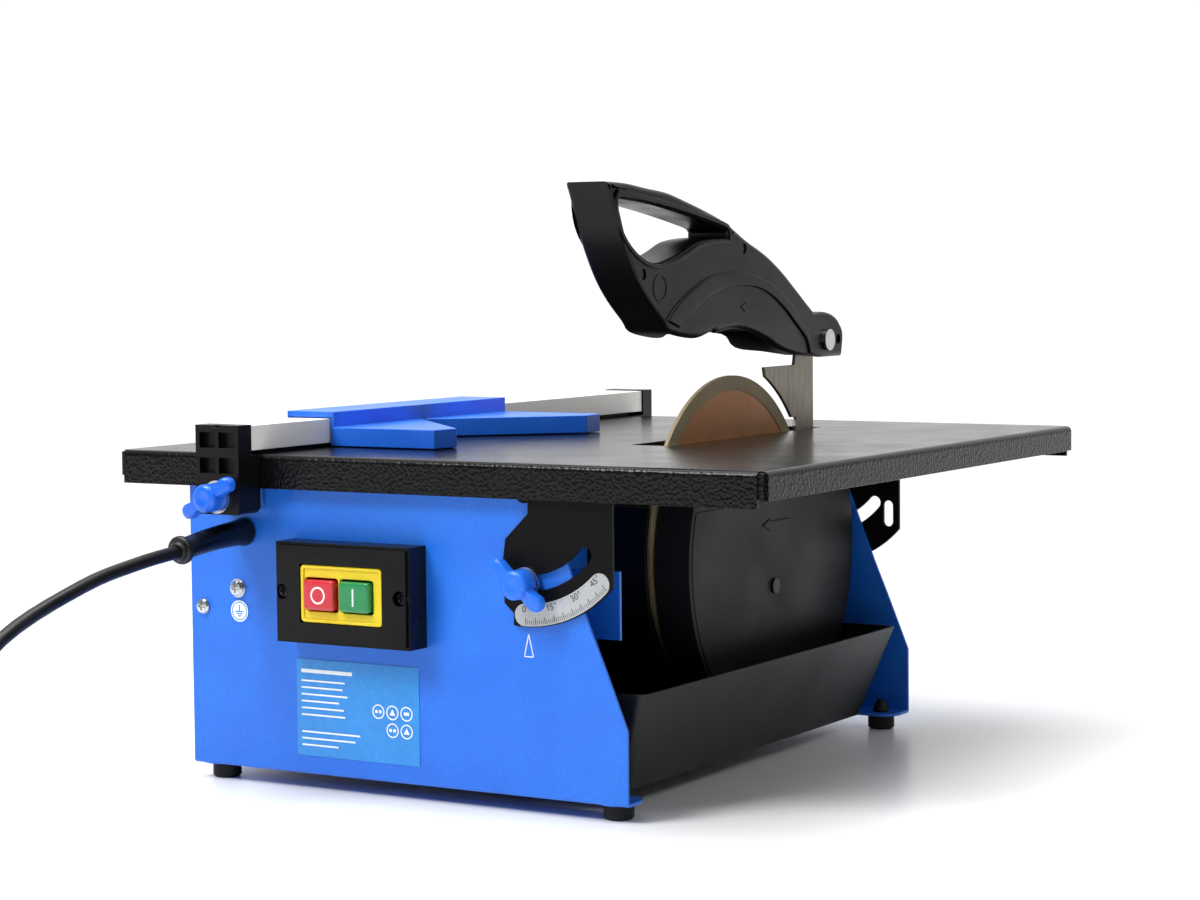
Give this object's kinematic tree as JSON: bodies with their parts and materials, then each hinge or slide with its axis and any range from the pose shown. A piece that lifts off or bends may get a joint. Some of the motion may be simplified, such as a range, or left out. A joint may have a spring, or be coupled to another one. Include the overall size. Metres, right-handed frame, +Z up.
{
  "type": "tile cutter",
  "caption": "Bench tile cutter with a tilting steel table over a sheet-steel base, a diamond blade under a hinged guard, a rip fence with an angle guide, a water tray and a mains lead.",
  "frame": {"origin": "on the bench, under the middle of the table", "axes": "+X to the right as the user stands at the switch, +Y to the back along the cut, +Z up"},
  "size_m": [0.5195, 0.8062, 0.3085],
  "materials": {
    "table_coat": "coarse black powder coat",
    "bracket_coat": "satin black powder coat",
    "scale_plate": "matt etched",
    "blue_coat": "blue hammer paint",
    "foot_rubber": "matt",
    "bright_zinc": "bright zinc plate",
    "label_film": "printed film",
    "switch_plastic": "fine spark texture",
    "switch_yellow": "moulded yellow",
    "switch_black": "plain",
    "button_red": "moulded red",
    "button_green": "moulded green",
    "knob_blue": "moulded blue",
    "lamination_steel": "stacked laminations",
    "winding_varnish": "dark red varnish",
    "cast_alloy": "as cast",
    "ground_steel": "ground",
    "capacitor_can": "white plastic",
    "fan_plastic": "plain",
    "blade_copper": "copper-toned",
    "diamond_rim": "sintered grit",
    "knife_steel": "rolled",
    "guard_plastic": "satin black",
    "cover_plastic": "satin dark grey",
    "tray_plastic": "dark grey",
    "rail_aluminium": "satin extruded",
    "glide_plastic": "plain",
    "lead_rubber": "satin",
    "pin_nickel": "nickel plate"
  },
  "bodies": {
    "base": {"front_panel": "blue_coat", "rear_panel": "blue_coat", "side_panel": "blue_coat", "motor_bracket": "blue_coat", "rubber_feet": "foot_rubber", "casing_screws": "bright_zinc", "earth_screw": "bright_zinc", "labels": "label_film", "switch_housing": "switch_plastic", "switch_frame": "switch_yellow", "switch_block": "switch_black", "switch_screws": "bright_zinc", "pivot_rivets": "bright_zinc", "tilt_bolts": "bright_zinc", "tilt_washers": "bright_zinc", "motor_stator": "lamination_steel", "motor_windings": "winding_varnish", "motor_end_bells": "cast_alloy", "motor_screws": "bright_zinc", "shaft_bearings": "ground_steel", "run_capacitor": "capacitor_can", "riving_knife": "knife_steel", "knife_bracket": "ground_steel", "knife_screws": "bright_zinc", "lower_guard_inner": "guard_plastic", "lower_guard_cover": "cover_plastic", "lower_guard_screws": "bright_zinc", "strain_relief": "lead_rubber", "cord_lead": "lead_rubber", "cord_coil": "lead_rubber", "cord_plug": "lead_rubber", "plug_pins": "pin_nickel"},
    "table": {"table_top": "table_coat", "tilt_bracket_front": "bracket_coat", "tilt_bracket_rear": "bracket_coat", "angle_scale": "scale_plate"},
    "fence": {"fence_rail": "rail_aluminium", "fence_glide": "glide_plastic", "fence_clamps": "guard_plastic", "fence_pads": "bright_zinc", "fence_washers": "bright_zinc"},
    "guide": {"angle_guide": "knob_blue"},
    "fence_knob_front": {"fence_knob_front": "knob_blue"},
    "fence_knob_rear": {"fence_knob_rear": "knob_blue"},
    "tilt_knob_front": {"tilt_knob_front": "knob_blue"},
    "tilt_knob_rear": {"tilt_knob_rear": "knob_blue"},
    "spindle": {"motor_shaft": "ground_steel", "motor_rotor": "lamination_steel", "cooling_fan": "fan_plastic", "blade_core": "blade_copper", "blade_rim": "diamond_rim", "blade_flanges": "ground_steel", "arbor_nut": "bright_zinc"},
    "guard": {"guard_shell_right": "guard_plastic", "guard_shell_left": "guard_plastic", "guard_screws": "bright_zinc", "guard_pivot": "bright_zinc"},
    "tray": {"water_tray": "tray_plastic"},
    "stop": {"stop_button": "button_red"},
    "start": {"start_button": "button_green"}
  },
  "joints": [
    {"name": "table_tilt", "type": "hinge", "parent": "base", "child": "table", "pos_m": [0.06, 0, 0.158], "axis": [0, 1, 0], "range_deg": [0, 45]},
    {"name": "fence_slide", "type": "slide", "parent": "table", "child": "fence", "axis": [1, 0, 0], "range_m": [-0.06, 0.04]},
    {"name": "guide_slide", "type": "slide", "parent": "fence", "child": "guide", "axis": [0, 1, 0], "range_m": [-0.066, 0.16]},
    {"name": "fence_clamp_front", "type": "hinge", "parent": "fence", "child": "fence_knob_front", "pos_m": [-0.11175, -0.215, 0.151], "axis": [0, -1, 0], "range_deg": [-60, 0]},
    {"name": "fence_clamp_rear", "type": "hinge", "parent": "fence", "child": "fence_knob_rear", "pos_m": [-0.11175, 0.215, 0.151], "axis": [0, 1, 0], "range_deg": [-60, 0]},
    {"name": "tilt_lock_front", "type": "hinge", "parent": "base", "child": "tilt_knob_front", "pos_m": [0.06, -0.195, 0.1135], "axis": [0, -1, 0], "range_deg": [-180, 180]},
    {"name": "tilt_lock_rear", "type": "hinge", "parent": "base", "child": "tilt_knob_rear", "pos_m": [0.06, 0.143, 0.1135], "axis": [0, 1, 0], "range_deg": [-180, 180]},
    {"name": "blade_spin", "type": "hinge", "parent": "base", "child": "spindle", "pos_m": [0.06, 0.02, 0.116], "axis": [1, 0, 0], "continuous": true},
    {"name": "guard_lift", "type": "hinge", "parent": "base", "child": "guard", "pos_m": [0.06, 0.114, 0.223], "axis": [-1, 0, 0], "range_deg": [0, 40]},
    {"name": "tray_pull", "type": "slide", "parent": "base", "child": "tray", "axis": [1, 0, 0], "range_m": [0, 0.135]},
    {"name": "stop_press", "type": "slide", "parent": "base", "child": "stop", "axis": [0, 1, 0], "range_m": [0, 0.0025], "stiffness_N_per_m": 400, "springref_m": -0.002},
    {"name": "start_press", "type": "slide", "parent": "base", "child": "start", "axis": [0, 1, 0], "range_m": [0, 0.0025], "stiffness_N_per_m": 400, "springref_m": -0.002}
  ]
}
